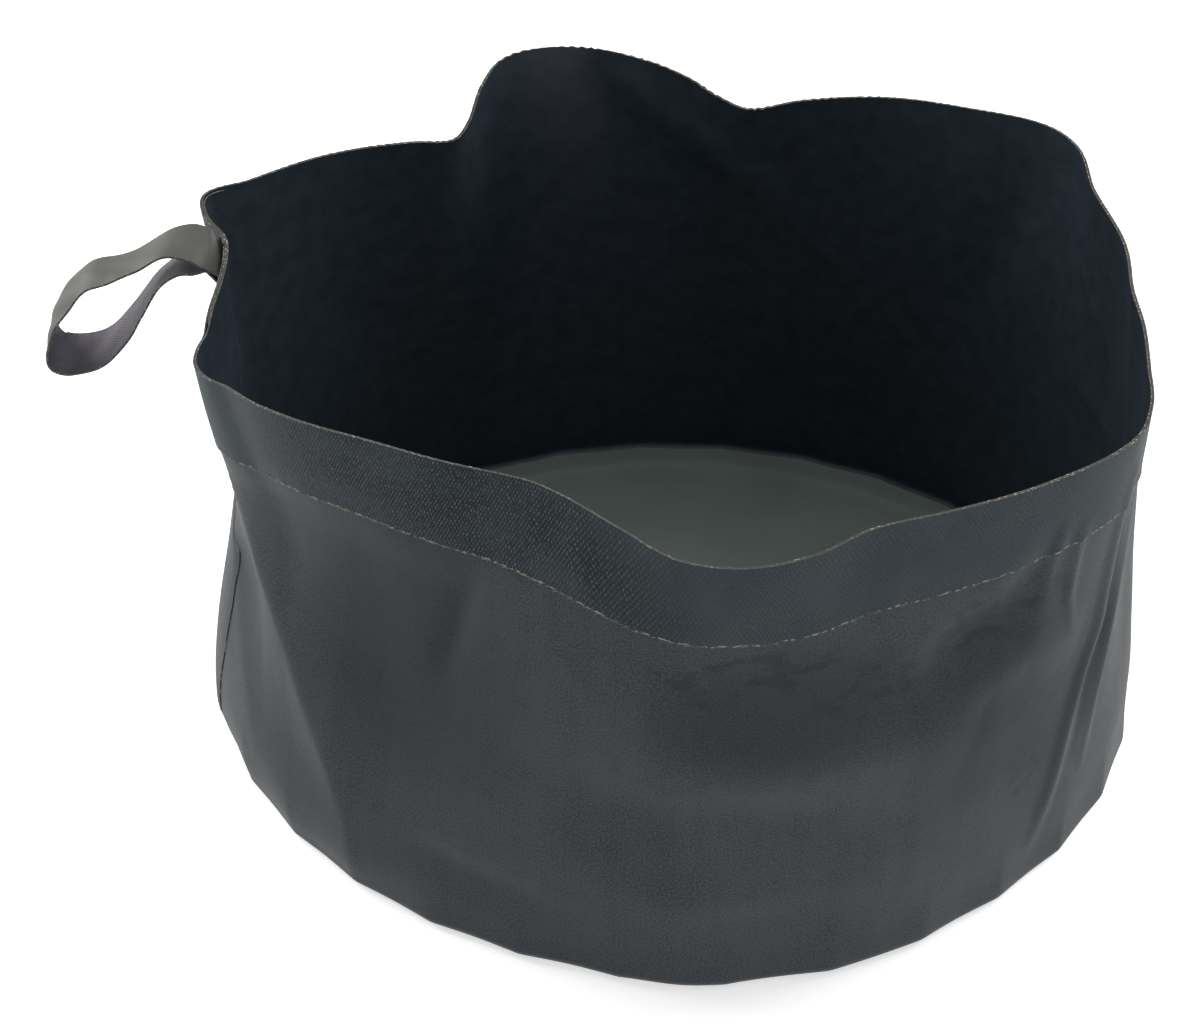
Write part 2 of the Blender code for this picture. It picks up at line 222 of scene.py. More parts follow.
# %% [markdown]
# ## A pale floor and soft light
#
# Coated cloth is dark but not matt: what it shows is mostly the pale surroundings mirrored in its
# coating. So the room matters more than the lamps. A white floor and a white world stand in for a
# studio's white table and walls. The world is white for the camera and for mirrored rays, and dimmer
# for the light that it casts, so that the cloth keeps the colour it is given. The table glows a
# little for the camera, so it is white but keeps the basin's shadow, and in the coating it mirrors
# as plain white. One wide lamp overhead gives the soft top light, one at each side lights the
# flanks, and a weak one in front opens the folds.

# %% Build the room
TABLE_GLOW = 0.55
ROOM_LIGHT = 0.29
LAMP_COLOUR = (1.0, 0.955, 0.95)
LAMP_TARGET = Vector((0, 0, 0.05))

bpy.ops.mesh.primitive_plane_add(size=14, location=(0, 0, -0.0002))
ground = bpy.context.object
ground.name = "studio_floor"
table_top = Finish("studio_floor", {"Specular IOR Level": 0.0, "Emission Color": (1, 1, 1, 1)})
grain = table_top.noise(table_top.node("ShaderNodeTexCoord", output="Object"), 3.0)
table_colour = table_top.mix(grain, (0.92, 0.92, 0.92), (0.94, 0.94, 0.94))
table_top.finish_with(table_colour, 0.9, grain * 0.0001)
glow = table_top.ray("Is Camera Ray") * TABLE_GLOW
table_top.feed(table_top.shader.inputs["Emission Strength"], glow)
mirrored = table_top.ray("Is Glossy Ray").most(table_top.ray("Is Transmission Ray"))
shine = table_top.node("ShaderNodeEmission", {}, {"Color": (1, 1, 1, 1), "Strength": 1.0})
table = Wire(table_top, table_top.shader.outputs[0])
shown = table_top.node("ShaderNodeMixShader", {}, {0: mirrored, 1: table, 2: shine})
table_top.feed(table_top.tree.nodes["Material Output"].inputs["Surface"], shown)
ground.data.materials.append(table_top.material)
ground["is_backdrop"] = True

room = Backdrop("white_room")
bpy.context.scene.world = room.world
seen = room.ray("Is Camera Ray").most(room.ray("Is Glossy Ray")).most(room.ray("Is Transmission Ray"))
strength = room.node("ShaderNodeMapRange", {}, {"Value": seen, "To Min": ROOM_LIGHT, "To Max": 1.0})
background = room.tree.nodes["Background"]
background.inputs["Color"].default_value = (1, 1, 1, 1)
room.feed(background.inputs["Strength"], strength)

for name, place, width, energy in (
    ("overhead_lamp", (0.1, 0.3, 1.5), 1.2, 8.0),
    ("left_lamp", (-1.1, 0.5, 0.72), 0.8, 14.0),
    ("right_lamp", (1.1, 0.6, 0.7), 0.8, 14.5),
    ("front_lamp", (0.55, -1.5, 0.45), 1.0, 6.0),
):
    bpy.ops.object.light_add(type="AREA", location=place)
    lamp = bpy.context.object
    lamp.name = name
    lamp.data.size = width
    lamp.data.energy = energy
    lamp.data.color = LAMP_COLOUR
    lamp.rotation_euler = (LAMP_TARGET - lamp.location).to_track_quat("-Z", "Y").to_euler()

settings = bpy.context.scene.view_settings
settings.view_transform = "Standard"
print("room built; view transform", settings.view_transform)

# %% [markdown]
# ## The line of the rim and of the base
#
# Soft cloth never stands as a true cylinder. The rim waves in and out and droops, and the base is
# only nearly round. We write both lines as stations: a turn (a share of a full circle, from +X
# towards +Y), then the radius and height there, as shares of the mean ones. A smooth curve through
# the stations gives every point between them, and numpy works out thousands of points in one call.

# %% Give the sizes and stations
BASE_RADIUS = 0.1522
RIM_RADIUS = 0.155
RIM_HEIGHT = 0.155
FABRIC = 0.0009
FOOT_RADIUS = 0.003
FOOT_TOP = FABRIC + FOOT_RADIUS
MARGIN_WIDTH = 0.012
MARGIN_FLAT = MARGIN_WIDTH - FOOT_RADIUS
TAU = 2 * math.pi
BASE_ROUND = TAU * BASE_RADIUS

RIM_STATIONS = (
    (0.006, 0.916, 0.994), (0.042, 0.955, 0.987), (0.078, 1.000, 0.994), (0.100, 1.065, 1.019),
    (0.117, 1.077, 1.026), (0.147, 1.045, 1.013), (0.175, 1.019, 1.000), (0.206, 0.968, 0.977),
    (0.225, 0.932, 0.958), (0.239, 0.961, 0.974), (0.250, 1.006, 0.997), (0.264, 1.052, 1.019),
    (0.281, 1.090, 1.039), (0.300, 1.103, 1.048), (0.314, 1.090, 1.039), (0.325, 1.032, 1.010),
    (0.336, 0.955, 0.974), (0.347, 0.916, 0.955), (0.364, 0.935, 0.968), (0.400, 0.987, 0.994),
    (0.431, 1.039, 1.006), (0.447, 1.084, 1.016), (0.458, 1.052, 1.006), (0.468, 0.987, 0.997),
    (0.481, 0.958, 0.994), (0.496, 0.951, 0.984), (0.512, 0.959, 0.974), (0.525, 0.971, 0.961),
    (0.532, 0.990, 0.952), (0.540, 0.999, 0.948), (0.551, 0.988, 0.955), (0.563, 0.960, 0.968),
    (0.580, 0.944, 0.987), (0.598, 0.924, 1.006), (0.634, 0.881, 1.032), (0.667, 0.861, 1.042),
    (0.697, 0.860, 1.049), (0.714, 0.890, 1.045), (0.733, 0.942, 1.026),
    (0.750, 1.000, 1.006), (0.769, 1.019, 1.000), (0.789, 1.000, 1.003), (0.808, 0.968, 1.016),
    (0.833, 0.968, 1.013), (0.869, 0.990, 1.006), (0.908, 1.019, 1.000), (0.928, 0.997, 1.000),
    (0.950, 0.955, 1.003), (0.975, 0.929, 1.000),
)
BASE_STATIONS = (
    (0.000, 1.000), (0.250, 1.000), (0.500, 1.005), (0.528, 1.012), (0.556, 0.999), (0.586, 0.989),
    (0.619, 0.981), (0.667, 0.982), (0.708, 0.993), (0.733, 1.008), (0.753, 1.030), (0.772, 1.022),
    (0.814, 1.020), (0.844, 1.002), (0.883, 0.994), (0.958, 0.998),
)
print(len(RIM_STATIONS), "rim stations and", len(BASE_STATIONS), "base stations")


# %% Draw smooth curves through stations
def smooth_line(knots, values, places):
    """Values at many places on the smooth curve through the values at the knots."""
    last = len(knots) - 1
    index = np.arange(len(knots))
    before, after = np.maximum(index - 1, 0), np.minimum(index + 1, last)
    slope = (values[after] - values[before]) / (knots[after] - knots[before])
    right = np.clip(np.searchsorted(knots, places), 1, last)
    left = right - 1
    span = knots[right] - knots[left]
    t = (places - knots[left]) / span
    rise = (1 + 2 * t) * (1 - t) ** 2 * values[left] + t * t * (3 - 2 * t) * values[right]
    lean = t * (1 - t) ** 2 * slope[left] + t * t * (t - 1) * slope[right]
    return rise + span * lean


def closed_line(stations, column, turn):
    """A column of the stations at many turns, on a smooth curve that closes on itself."""
    table = np.array(stations)
    knots = np.concatenate([table[-3:, 0] - 1, table[:, 0], table[:3, 0] + 1])
    values = np.concatenate([table[-3:, column], table[:, column], table[:3, column]])
    return smooth_line(knots, values, np.mod(turn, 1))


def open_line(stations, column, place):
    table = np.array(stations)
    return smooth_line(table[:, 0], table[:, column], place)


def smooth_step(value, low, high):
    t = np.clip((value - low) / (high - low), 0, 1)
    return t * t * (3 - 2 * t)


def turns_past(turn, mark):
    """How far past a mark a turn lies, the shorter way round: negative before it."""
    return np.mod(turn - mark + 0.5, 1) - 0.5


def window(turn, middle, spread):
    """1 at the middle turn, falling smoothly to 0 at the spread on both sides."""
    away = np.abs(turns_past(turn, middle)) / spread
    return np.where(away < 1, np.cos(math.pi * np.minimum(away, 1) / 2) ** 2, 0)


def round_place(radius, turn, height):
    """Points from their radius, turn and height."""
    angle = TAU * turn
    return np.stack([radius * np.cos(angle), radius * np.sin(angle), height], -1)


def unit(vectors):
    return vectors / np.linalg.norm(vectors, axis=-1, keepdims=True)


def lengths_along(chain):
    """The length from a chain's first point to each of its points."""
    return np.concatenate([[0], np.cumsum(np.linalg.norm(np.diff(chain, axis=0), axis=1))])


def rim_height(turn):
    return RIM_HEIGHT * closed_line(RIM_STATIONS, 2, turn)


print("rim height at the front:", (rim_height(0.75) * 1000).round(1), "mm")

# %% [markdown]
# ## The surface that the wall follows
#
# Between base and rim the wall blends from one line to the other, slowly at first and quickly near
# the top, because the cloth is welded flat below and free above. A dent at the front closes
# downwards, both flanks are drawn in half way up, and a sharp crease runs from the band to the base,
# with a flat facet beside it. The plain model has the same features, most of them shallower, so the
# cloth lies within about 7 mm of the plain solid, and mostly much closer.

# %% Shape the wall's surface
PLEAT_COUNT = 30
PLEAT_DEPTH = 0.0011
PLEAT_TOP_SHARE = 0.16
BELLY = 0.0022
RIM_REACH = 2.2
DENT_TURN = 0.633
DENT_SPREAD = 0.17
DENT_CLOSING = 1.7
LEFT_TURN = 0.54
LEFT_SPREAD = 0.12
PULL_SPREAD = 0.26
PULL_STATIONS = (
    (0.0, 0.0), (0.05, -0.0025), (0.12, -0.0028), (0.25, 0.0), (0.4, 0.0036), (0.52, 0.0075),
    (0.64, 0.0089), (0.74, 0.0065), (0.82, 0.0029), (0.9, 0.0011), (1.0, 0.0),
)
FACET_STATIONS = (
    (0.0, 0.0), (0.12, 0.0016), (0.25, 0.0018), (0.4, 0.0027), (0.52, 0.002), (0.64, 0.0),
    (1.0, 0.0),
)
FACET_SPREAD = 0.056
FACET_FLATNESS = 0.0026
RIGHT_TURN = 0.965
RIGHT_SPREAD = 0.11
RIGHT_STATIONS = (
    (0.0, 0.0), (0.15, 0.0016), (0.3, 0.004), (0.5, 0.0056), (0.7, 0.0046), (0.87, 0.0019),
    (1.0, 0.0),
)
CREASE_DEPTH = 0.0062
CREASE_PEAK = 9.48  # this many times x (1 - x) ** 3 is 1 at its highest
CREASE_SPREAD = 0.21
CREASE_TOP_SHARE = 0.74
CREASE_LINE = (
    (0.0, 0.6358), (0.15, 0.6312), (0.29, 0.6173), (0.44, 0.5974), (0.57, 0.575), (0.7, 0.5549),
    (0.83, 0.5364), (1.0, 0.5179),
)


def base_radius(turn, share=0):
    """The base outline: the wall's foot is pleated, so it has slight corners that die out upwards."""
    fade = 1 - smooth_step(share, 0.0, PLEAT_TOP_SHARE)
    pleat = PLEAT_DEPTH * np.abs(np.sin(math.pi * PLEAT_COUNT * turn)) * fade
    return BASE_RADIUS * closed_line(BASE_STATIONS, 1, turn) - pleat


def past_crease(turn, share):
    """How far past the crease a place lies, in turns: negative at the left of it."""
    return turns_past(turn, open_line(CREASE_LINE, 1, share))


def crease_dent(turn, share):
    """Depth of the dent that starts at the sharp crease and eases out towards the viewer."""
    above = np.maximum(0, 1 - (share - CREASE_TOP_SHARE) / (1 - CREASE_TOP_SHARE))
    below = np.sqrt(np.maximum(share, 0) / CREASE_TOP_SHARE)
    across = past_crease(turn, share) / CREASE_SPREAD
    dent = CREASE_DEPTH * CREASE_PEAK * across * (1 - across) ** 3
    fade = np.where(share > CREASE_TOP_SHARE, above, below)
    return np.where((across > 0) & (across < 1), dent * fade, 0)


def plain_surface(turn, share):
    """Points of the wall's surface at a share of the height from the top of the foot to the rim."""
    closing = DENT_CLOSING * (1 - share) * window(turn, DENT_TURN, DENT_SPREAD)
    rim = RIM_RADIUS * closed_line(RIM_STATIONS, 1, turn + (np.mod(turn, 1) - DENT_TURN) * closing)
    foot = base_radius(turn, share)
    held = np.clip(share, 0, 1)
    radius = foot + (rim - foot) * held ** RIM_REACH + BELLY * np.sin(math.pi * held)
    before, after = window(turn, LEFT_TURN, LEFT_SPREAD), window(turn, LEFT_TURN, PULL_SPREAD)
    left = np.where(turns_past(turn, LEFT_TURN) < 0, before, after)
    facet = np.clip(-past_crease(turn, share) / FACET_SPREAD, 0, 1)
    pull = open_line(PULL_STATIONS, 1, held) + facet * open_line(FACET_STATIONS, 1, held)
    radius = radius - left * pull
    flat = np.sin(math.pi * facet) * smooth_step(held, 0.04, 0.25)
    radius = radius - FACET_FLATNESS * flat * (1 - smooth_step(held, 0.45, 0.68))
    right = window(turn, RIGHT_TURN, RIGHT_SPREAD)
    radius = radius - right * open_line(RIGHT_STATIONS, 1, held) - crease_dent(turn, share)
    return round_place(radius, turn, FOOT_TOP + share * (rim_height(turn) - FOOT_TOP))


def outward(turn, share, probe=0.0005):
    """The wall's outward direction at many places."""
    around = plain_surface(turn + probe, share) - plain_surface(turn - probe, share)
    above, below = np.minimum(share + probe, 1), np.maximum(share - probe, 0)
    up = plain_surface(turn, above) - plain_surface(turn, below)
    return unit(np.cross(around, up))


half_way_up = plain_surface(np.linspace(0, 1, 720), np.full(720, 0.5))
mean_radius = np.linalg.norm(half_way_up[:, :2], axis=-1).mean()
print("half way up the wall is", (mean_radius * 2000).round(1), "mm across")

# %% [markdown]
# ## Folds drawn one by one
#
# The picture shows folds that no formula would give: a double ridge at the right that runs from the
# rim to the base, a dark pocket under the band, soft rolls across the lower front, a short pinch
# beside the dent. We could simulate cloth, but a simulation would not put them in these places. So
# each fold is a line on the flat cloth with a width and a height, and its section is a soft bell.

# %% List the folds
# Each fold: its points, as turn and share of the height, then its half width and its height in metres
FOLDS = (
    (((0.913, 0.9), (0.9104, 0.795), (0.9088, 0.67), (0.9072, 0.56), (0.9004, 0.475), (0.8932, 0.36),
      (0.888, 0.22), (0.88, 0.09)), 0.0034, 0.0017),
    (((0.931, 0.82), (0.928, 0.68), (0.924, 0.54), (0.919, 0.44), (0.914, 0.34), (0.908, 0.2)),
     0.0032, 0.0014),
    (((0.92, 0.86), (0.918, 0.66), (0.9155, 0.52), (0.907, 0.41), (0.899, 0.26)), 0.0032, -0.0016),
    (((0.822, 0.64), (0.8332, 0.685), (0.8452, 0.705), (0.8576, 0.725), (0.87, 0.815)),
     0.0075, -0.0042),
    (((0.83, 0.56), (0.845, 0.615), (0.865, 0.64), (0.885, 0.6), (0.896, 0.56)), 0.01, 0.002),
    (((0.878, 0.88), (0.8735, 0.795), (0.8715, 0.73)), 0.0026, 0.001),
    (((0.887, 0.86), (0.885, 0.78), (0.8838, 0.7), (0.887, 0.62)), 0.0026, 0.001),
    (((0.75, 0.61), (0.78, 0.56), (0.8, 0.54), (0.824, 0.53), (0.848, 0.47)), 0.013, 0.0028),
    (((0.708, 0.45), (0.736, 0.4), (0.766, 0.4), (0.8, 0.34), (0.836, 0.35)), 0.011, -0.0027),
    (((0.716, 0.25), (0.746, 0.2), (0.79, 0.24), (0.824, 0.2)), 0.01, 0.002),
    (((0.64, 0.12), (0.662, 0.15), (0.69, 0.13), (0.715, 0.11)), 0.0065, -0.0024),
    (((0.684, 0.85), (0.6792, 0.788), (0.6701, 0.625), (0.664, 0.52)), 0.0055, -0.0017),
    (((0.72, 1.0), (0.7167, 0.988), (0.7111, 0.956), (0.7021, 0.881), (0.695, 0.82)), 0.005, -0.0011),
    (((0.719, 1.0), (0.716, 0.963), (0.7236, 0.869), (0.729, 0.81)), 0.0055, 0.001),
    (((0.276, 1.0), (0.2708, 0.938), (0.2597, 0.881), (0.2333, 0.831), (0.2118, 0.713),
      (0.196, 0.56)), 0.0075, -0.0018),
    (((0.2229, 0.96), (0.219, 0.9), (0.212, 0.8), (0.21, 0.65)), 0.006, 0.0016),
    (((0.118, 0.95), (0.1208, 0.806), (0.1319, 0.613), (0.14, 0.42)), 0.012, 0.0018),
    (((0.0854, 0.56), (0.07, 0.5), (0.0361, 0.48)), 0.006, -0.0015),
    (((0.34, 0.98), (0.345, 0.82), (0.338, 0.56), (0.33, 0.32)), 0.014, -0.002),
    (((0.38, 0.9), (0.39, 0.64), (0.378, 0.38)), 0.016, 0.0015),
    (((0.46, 0.9), (0.466, 0.6), (0.46, 0.3)), 0.012, -0.0012),
    (((0.01, 0.92), (0.006, 0.62), (0.012, 0.26)), 0.011, -0.0016),
    (((0.97, 0.88), (0.964, 0.56), (0.97, 0.2)), 0.009, 0.0012),
    (((0.052, 0.84), (0.056, 0.52), (0.05, 0.18)), 0.012, 0.0013),
    (((0.17, 0.9), (0.176, 0.56), (0.168, 0.24)), 0.013, -0.0013),
)
SLACK = 0.001


def fold_height(turn, share, line, width, height):
    """Outward height of one fold: a bell across its line, dying out at both ends."""
    corners = np.array(line) * (BASE_ROUND, RIM_HEIGHT)
    lengths = lengths_along(corners)
    nearest = np.full(np.shape(turn), 1e9)
    along = np.zeros(np.shape(turn))
    for i, (x, y) in enumerate(np.diff(corners, axis=0)):
        px, py = turns_past(turn, line[i][0]) * BASE_ROUND, (share - line[i][1]) * RIM_HEIGHT
        t = np.clip((px * x + py * y) / (x * x + y * y), 0, 1)
        away = np.hypot(px - t * x, py - t * y)
        closer = away < nearest
        here = (lengths[i] + t * (lengths[i + 1] - lengths[i])) / lengths[-1]
        along = np.where(closer, here, along)
        nearest = np.where(closer, away, nearest)
    ends = np.sin(math.pi * np.clip(along, 0.04, 0.96)) ** 0.6
    return height * np.exp(-(nearest / width) ** 2) * ends


def slack(turn, share):
    """The small unevenness of cloth that hangs free: a few long waves, weaker towards the base."""
    wave = (
        0.45 * np.sin(TAU * (7 * turn + 0.4 * share + 0.13)) * np.sin(math.pi * share)
        + 0.3 * np.sin(TAU * (13 * turn - 0.7 * share + 0.61)) * np.sin(math.pi * share) ** 2
        + 0.16 * np.sin(TAU * (23 * turn + 1.3 * share + 0.37)) * np.sin(math.pi * share)
    )
    return SLACK * wave


def folded(turn, share):
    total = slack(turn, share)
    for line, width, height in FOLDS:
        total = total + fold_height(turn, share, line, width, height)
    return total * smooth_step(share, 0.0, 0.1)


def cloth_point(turn, share, stand_off):
    """Points of the folded cloth, a stand-off outside the surface that the wall follows."""
    place = plain_surface(turn, share)
    face = outward(turn, share)
    return place + face * (folded(turn, share) + stand_off)[..., None]


probe = folded(*np.meshgrid(np.linspace(0, 1, 400), np.linspace(0, 1, 60))) * 1000
print("folds reach from", probe.min().round(2), "to", probe.max().round(2), "mm")

# %% [markdown]
# ## Sheets of cloth
#
# Every piece of cloth is made in one way. It starts as a grid, which is the flat cut. A function that
# knows where each point of the flat cut ends up moves the points there, and Solidify, applied at
# once, gives the cloth its thickness. The flat cut stays on the piece as its UV map, in metres, so a
# pattern keeps its real scale and stays with the cloth when the basin is pushed flat. An attribute
# records which face is the inner one, because coated cloth has two different faces.

# %% Make a sheet
SMOOTH_BELOW = math.radians(48)


def make_sheet(name, columns, rows, place, thickness, offset=1, outer_first=True):
    """A sheet of cloth from a grid; place turns grid shares into points and their flat cut."""
    bpy.ops.object.select_all(action="DESELECT")
    bpy.ops.mesh.primitive_grid_add(x_subdivisions=columns, y_subdivisions=rows, size=1)
    piece = bpy.context.object
    piece.name = name
    mesh = piece.data
    mesh.name = name
    shares = np.array([vertex.co[:2] for vertex in mesh.vertices]) + 0.5
    points, cut = place(shares[:, 0], shares[:, 1])
    mesh.vertices.foreach_set("co", points.ravel())
    mesh.update()
    thicken(piece, thickness, offset)
    write_cut(piece, cut, outer_first)
    bpy.ops.object.shade_smooth_by_angle(angle=SMOOTH_BELOW)
    print(name, "has", len(mesh.polygons), "faces")
    return piece


def thicken(piece, thickness, offset):
    """Give a flat piece its thickness: offset 1 adds it outside, 0 on both sides."""
    bpy.context.view_layer.objects.active = piece
    bpy.ops.object.modifier_add(type="SOLIDIFY")
    cover = piece.modifiers[-1]
    cover.thickness = thickness
    cover.offset = offset
    bpy.ops.object.modifier_apply(modifier=cover.name)


def write_cut(piece, cut, outer_first=True):
    """Write the flat cut as a UV map, and which face is the inner one as an attribute.

    Solidify keeps the grid's points first, on the side of its normals, then adds the other face's.
    """
    mesh = piece.data
    count = len(cut)
    corner = np.empty(len(mesh.loops), int)
    mesh.loops.foreach_get("vertex_index", corner)
    while mesh.uv_layers:
        mesh.uv_layers.remove(mesh.uv_layers[0])
    layer = mesh.uv_layers.new(name="flat_cut")
    layer.data.foreach_set("uv", cut[corner % count].ravel())
    side = mesh.attributes.new("cloth_side", "FLOAT", "POINT")
    halves = [0.0, 1.0] if outer_first else [1.0, 0.0]
    side.data.foreach_set("value", np.repeat(halves, count)[: len(mesh.vertices)])


# %% [markdown]
# ## The side wall
#
# The wall is one strip of coated cloth. It starts inside at the seam, goes once round, and ends on
# top of its own start, where it is welded. Its lower margin is turned in and goes under the floor.
# We follow the strip itself: a point's layer depends on how far along the strip it lies, so the two
# ends really lie on each other and their cut edges show as steps.

# %% Build the side wall
CLOTH = 0.00055
INNER_FACE = FABRIC - CLOTH
WELD = 0.00006
SEAM_START = 0.4424
ONCE_ROUND = 0.9
LAYERS_PART = 0.075
END_TAPER = 0.004
END_SINK = 0.45
CORNER_LENGTH = 0.01
CORNER_FALL = 0.003
WALL_COLUMNS = 760
MARGIN_ROWS = 3
FOOT_ROWS = 6
WALL_ROWS = 62
LAP_END = (
    (0.0, 0.535), (0.16, 0.5388), (0.24, 0.5418), (0.3, 0.5426), (0.38, 0.5432), (0.44, 0.5422),
    (0.49, 0.5395), (0.5, 0.532), (0.51, 0.505), (0.52, 0.48), (0.6, 0.474), (1.0, 0.52),
)


def layer_at(past_start):
    """How far outside the surface the strip's inner face lies, by turns from the strip's start."""
    return INNER_FACE + (past_start - 1) * (CLOTH + WELD)


def rim_wobble(turn):
    """The rim was cut by hand: a little unevenness every few millimetres, more at the back."""
    bumps = np.sin(TAU * 331 * turn + 0.8 * np.sin(TAU * 57 * turn)) * np.sin(TAU * 23 * turn + 1.0)
    return (0.00012 + 0.00022 * window(turn, 0.28, 0.16)) * bumps


def place_foot(turn, row):
    """The strip's lowest rows: flat under the floor, then a quarter round up to the wall."""
    on_margin = np.clip(row / MARGIN_ROWS, 0, 1)
    lean = np.clip((row - MARGIN_ROWS) / FOOT_ROWS, 0, 1) * math.pi / 2
    out = round_place(1.0, turn, 0 * turn)
    up = np.array([0, 0, 1.0])
    middle = out * (base_radius(turn) - FOOT_RADIUS)[:, None] + up * FOOT_TOP
    curve = out * np.sin(lean)[:, None] - up * np.cos(lean)[:, None]
    inset = (1 - on_margin) * MARGIN_FLAT
    points = middle + curve * (FOOT_RADIUS + INNER_FACE) - out * inset[:, None]
    return points, on_margin * MARGIN_FLAT + lean * FOOT_RADIUS


def place_wall(along, across):
    """The whole strip: its last tenth lies on its start, and its end is pressed down to a taper."""
    row = across * WALL_ROWS
    share = np.clip((row - MARGIN_ROWS - FOOT_ROWS) / (WALL_ROWS - MARGIN_ROWS - FOOT_ROWS), 0, 1)
    lap = open_line(LAP_END, 1, share) - SEAM_START
    on_lap = (along - ONCE_ROUND) / (1 - ONCE_ROUND)
    past = np.where(along < ONCE_ROUND, along / ONCE_ROUND, 1 + on_lap * lap)
    turn = SEAM_START + past
    stand_off = INNER_FACE + (layer_at(past) - INNER_FACE) * smooth_step(share, 0.0, LAYERS_PART)
    end_of_strip = smooth_step((past - 1 - lap) * BASE_ROUND, -END_TAPER, 0)
    free_corner = smooth_step(past * BASE_ROUND, CORNER_LENGTH, 0) * smooth_step(share, 0.5, 1.0)
    stand_off = stand_off - end_of_strip * END_SINK * CLOTH - CORNER_FALL * free_corner
    points = cloth_point(turn, share, stand_off)
    points[:, 2] += rim_wobble(turn) * smooth_step(share, 0.975, 1.0)
    low, cut_height = place_foot(turn, row)
    points = np.where((row < MARGIN_ROWS + FOOT_ROWS)[:, None], low, points)
    cut_height = cut_height + share * (rim_height(turn) - FOOT_TOP)
    return points, np.stack([past * BASE_ROUND, cut_height], -1)


wall = make_sheet("wall_strip", WALL_COLUMNS, WALL_ROWS, place_wall, CLOTH)

# %% [markdown]
# ## The floor
#
# The floor is a disc of a slightly lighter cloth, welded onto the wall's turned-in margin. A circle
# primitive is filled and inset ring by ring, which is how one would make room for a step by hand.
# Each ring then gets its height: flat on the ground in the middle, one step up on the margin.

# %% Build the floor
FLOOR_THICKNESS = 0.001
SEAT = FABRIC + 0.0003
STEP_WIDTH = 0.004
RIPPLE = 0.0004
DISC_RADIUS = BASE_RADIUS - FOOT_RADIUS
RING_COUNT = 240
INSETS = (
    0.002, 0.002, 0.0022, 0.0021, 0.002, 0.002, 0.004, 0.01, 0.018, 0.024, 0.024, 0.024, 0.018,
)

bpy.ops.object.select_all(action="DESELECT")
bpy.ops.mesh.primitive_circle_add(vertices=RING_COUNT, radius=DISC_RADIUS, fill_type="NGON")
floor = bpy.context.object
floor.name = "floor_sheet"
floor.data.name = "floor_sheet"
bpy.ops.object.mode_set(mode="EDIT")
bpy.ops.mesh.select_all(action="SELECT")
for inset in INSETS:
    bpy.ops.mesh.inset(thickness=inset, depth=0)
bpy.ops.mesh.poke()
bpy.ops.object.mode_set(mode="OBJECT")

x, y = np.array([vertex.co[:2] for vertex in floor.data.vertices]).T
reach = np.hypot(x, y) / DISC_RADIUS
floor_turn = np.arctan2(y, x) / TAU
edge_radius = base_radius(floor_turn) - FOOT_RADIUS
radius = reach * edge_radius
inset_now = edge_radius - radius
height = SEAT * (1 - smooth_step(inset_now, MARGIN_FLAT, MARGIN_FLAT + STEP_WIDTH))
ripple = RIPPLE * (1 + np.sin(x * 61 + 2.0 * np.sin(y * 23))) / 2
height = height + ripple * smooth_step(inset_now, 0.014, 0.05)
placed = round_place(radius, floor_turn, height)
floor.data.vertices.foreach_set("co", placed.ravel())
floor.data.update()
thicken(floor, FLOOR_THICKNESS, 1)
write_cut(floor, placed[:, :2])
bpy.ops.object.shade_smooth_by_angle(angle=SMOOTH_BELOW)
print("floor has", len(floor.data.polygons), "faces")

# %% [markdown]
# ## The band round the rim
#
# A strip of embossed cloth is welded round the outside of the rim. It lies on the wall's outermost
# layer, so where the wall's own end stops below it, the band bridges down over the step. Its two ends
# meet in a butt joint behind the carrying loop.

# %% Build the rim band
BAND_WIDTH = 0.026
BAND_THICKNESS = 0.0005
BAND_GAP = 0.0001
LOOP_TURN = 0.4735
BUTT = 0.002
EDGE_WAVE = 0.00018
LIFT_WAVE = 0.0001


def band_stand_off(turn):
    """Where the band's inner face lies: on the wall's outermost layer, bridging the strip's end."""
    past = np.mod(turn - SEAM_START, 1)
    lap = LAP_END[-1][1] - SEAM_START
    outer = layer_at(past + 1) + CLOTH
    single = layer_at(past) + CLOTH
    down = smooth_step(past, lap - 0.002, lap + 0.008)
    return outer * (1 - down) + single * down + BAND_GAP


def share_below_rim(turn, drop):
    return 1 - drop / (rim_height(turn) - FOOT_TOP)


def place_band(along, across):
    """The band: cut by hand, so its lower edge lifts and waves a little."""
    half = BUTT / 2 / (TAU * RIM_RADIUS)
    turn = LOOP_TURN + half + along * (1 - 2 * half)
    share = share_below_rim(turn, (1 - across) * BAND_WIDTH)
    lift = LIFT_WAVE * np.sin(TAU * 61 * turn + 2 * np.sin(TAU * 17 * turn))
    points = cloth_point(turn, share, band_stand_off(turn) + lift * smooth_step(across, 0.3, 0.0))
    edge_wave = EDGE_WAVE * np.sin(TAU * 139 * turn + 3 * np.sin(TAU * 29 * turn))
    points[:, 2] += edge_wave * smooth_step(across, 0.06, 0.0)
    points[:, 2] += rim_wobble(turn) * smooth_step(across, 0.9, 1.0)
    return points, np.stack([along * TAU * RIM_RADIUS, across * BAND_WIDTH], -1)


band = make_sheet("rim_band_strip", 900, 20, place_band, BAND_THICKNESS)

# %% [markdown]
# ## The carrying loop
#
# One narrow strip is folded in half to make the loop. Its two ends lie on each other, welded flat
# over the band's butt joint, and turn outwards in a round nose below the rim. From there the free
# strip runs out, twists a little, turns over at its tip and comes back underneath.
#
# The free part is its own sheet, because it swings. Its middle line is a smooth curve through
# stations, and at each station the strip has a width direction that turns with the twist.

